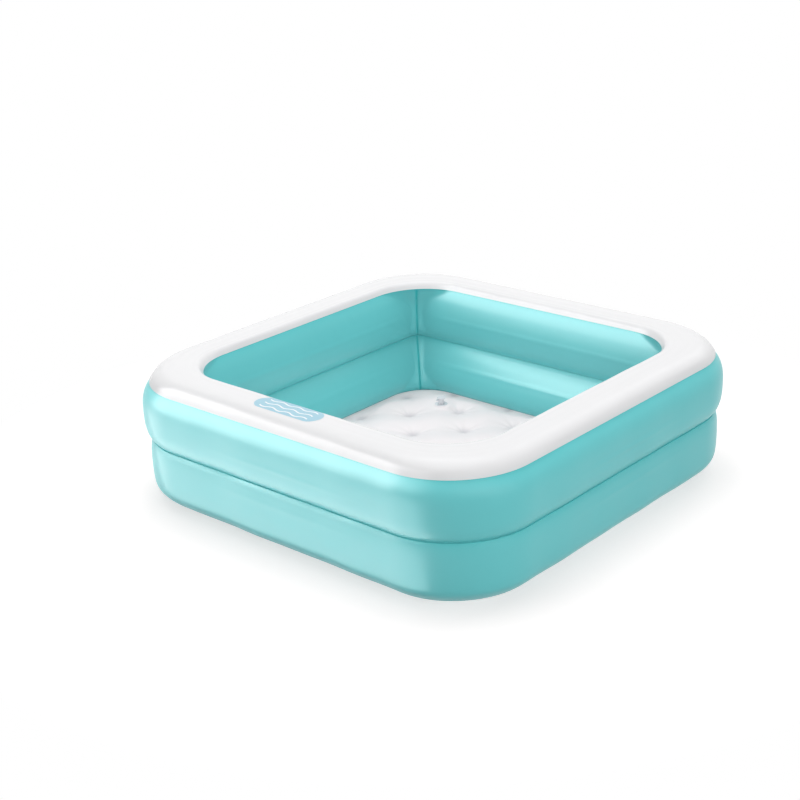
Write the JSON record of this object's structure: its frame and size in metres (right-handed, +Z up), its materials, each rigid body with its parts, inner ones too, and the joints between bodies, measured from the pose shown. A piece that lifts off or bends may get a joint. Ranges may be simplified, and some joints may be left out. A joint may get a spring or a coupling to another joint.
{
  "type": "inflatable paddling pool",
  "caption": "Square inflatable paddling pool for small children: stacked air rings with a white rim, blue-green walls and a quilted air floor, each air space with its own valve.",
  "frame": {"origin": "on the ground, under the middle of the pool", "axes": "+Z up; -Y towards the front side, which carries the badge; +X to the right; the ring valves are on the back, +Y"},
  "size_m": [0.85, 0.8547, 0.25],
  "materials": {
    "white_film": "glossy white vinyl film",
    "teal_film": "glossy blue-green vinyl film",
    "floor_film": "glossy milky white vinyl film",
    "base_film": "satin white vinyl film",
    "valve_vinyl": "clear soft vinyl moulding"
  },
  "bodies": {
    "pool": {"rim_sheet": "white_film", "upper_outer_wall": "teal_film", "lower_outer_wall": "teal_film", "upper_inner_wall_right": "teal_film", "upper_inner_wall_back": "teal_film", "upper_inner_wall_left": "teal_film", "upper_inner_wall_front": "teal_film", "lower_inner_wall_right": "teal_film", "lower_inner_wall_back": "teal_film", "lower_inner_wall_left": "teal_film", "lower_inner_wall_front": "teal_film", "ring_divider": "teal_film", "base_sheet": "base_film", "floor_sheet": "floor_film", "floor_valve_collar": "valve_vinyl", "upper_ring_valve_collar": "valve_vinyl", "lower_ring_valve_collar": "valve_vinyl"},
    "floor_valve_stem_body": {"floor_valve_stem": "valve_vinyl", "floor_valve_strap": "valve_vinyl"},
    "floor_valve_plug_body": {"floor_valve_plug": "valve_vinyl"},
    "floor_valve_flap_body": {"floor_valve_flap": "valve_vinyl"},
    "upper_valve_stem_body": {"upper_ring_valve_stem": "valve_vinyl", "upper_ring_valve_strap": "valve_vinyl"},
    "upper_valve_plug_body": {"upper_ring_valve_plug": "valve_vinyl"},
    "upper_valve_flap_body": {"upper_ring_valve_flap": "valve_vinyl"},
    "lower_valve_stem_body": {"lower_ring_valve_stem": "valve_vinyl", "lower_ring_valve_strap": "valve_vinyl"},
    "lower_valve_plug_body": {"lower_ring_valve_plug": "valve_vinyl"},
    "lower_valve_flap_body": {"lower_ring_valve_flap": "valve_vinyl"}
  },
  "joints": [
    {"name": "floor_valve_press", "type": "slide", "parent": "pool", "child": "floor_valve_stem_body", "axis": [0, 0, 1], "range_m": [-0.0098, 0]},
    {"name": "floor_valve_plug_pull", "type": "slide", "parent": "floor_valve_stem_body", "child": "floor_valve_plug_body", "axis": [0, 0, 1], "range_m": [0, 0.009], "deforming": ["floor_valve_strap"]},
    {"name": "floor_valve_flap_open", "type": "hinge", "parent": "floor_valve_stem_body", "child": "floor_valve_flap_body", "pos_m": [-0.177, 0.2186, 0.02405], "axis": [-1, 0, 0], "range_deg": [0, 70], "stiffness_Nm_per_rad": 0.00002, "springref_deg": -17.19},
    {"name": "upper_valve_press", "type": "slide", "parent": "pool", "child": "upper_valve_stem_body", "axis": [0, 1, 0], "range_m": [0, 0.0098]},
    {"name": "upper_valve_plug_pull", "type": "slide", "parent": "upper_valve_stem_body", "child": "upper_valve_plug_body", "axis": [0, 1, 0], "range_m": [0, 0.009], "deforming": ["upper_ring_valve_strap"]},
    {"name": "upper_valve_flap_open", "type": "hinge", "parent": "upper_valve_stem_body", "child": "upper_valve_flap_body", "pos_m": [-0.12, 0.4102, 0.1828], "axis": [-1, 0, 0], "range_deg": [0, 70], "stiffness_Nm_per_rad": 0.00002, "springref_deg": -17.19},
    {"name": "lower_valve_press", "type": "slide", "parent": "pool", "child": "lower_valve_stem_body", "axis": [0, 1, 0], "range_m": [0, 0.0098]},
    {"name": "lower_valve_plug_pull", "type": "slide", "parent": "lower_valve_stem_body", "child": "lower_valve_plug_body", "axis": [0, 1, 0], "range_m": [0, 0.009], "deforming": ["lower_ring_valve_strap"]},
    {"name": "lower_valve_flap_open", "type": "hinge", "parent": "lower_valve_stem_body", "child": "lower_valve_flap_body", "pos_m": [0.12, 0.4007, 0.0762], "axis": [-1, 0, 0], "range_deg": [0, 70], "stiffness_Nm_per_rad": 0.00002, "springref_deg": -17.19}
  ]
}
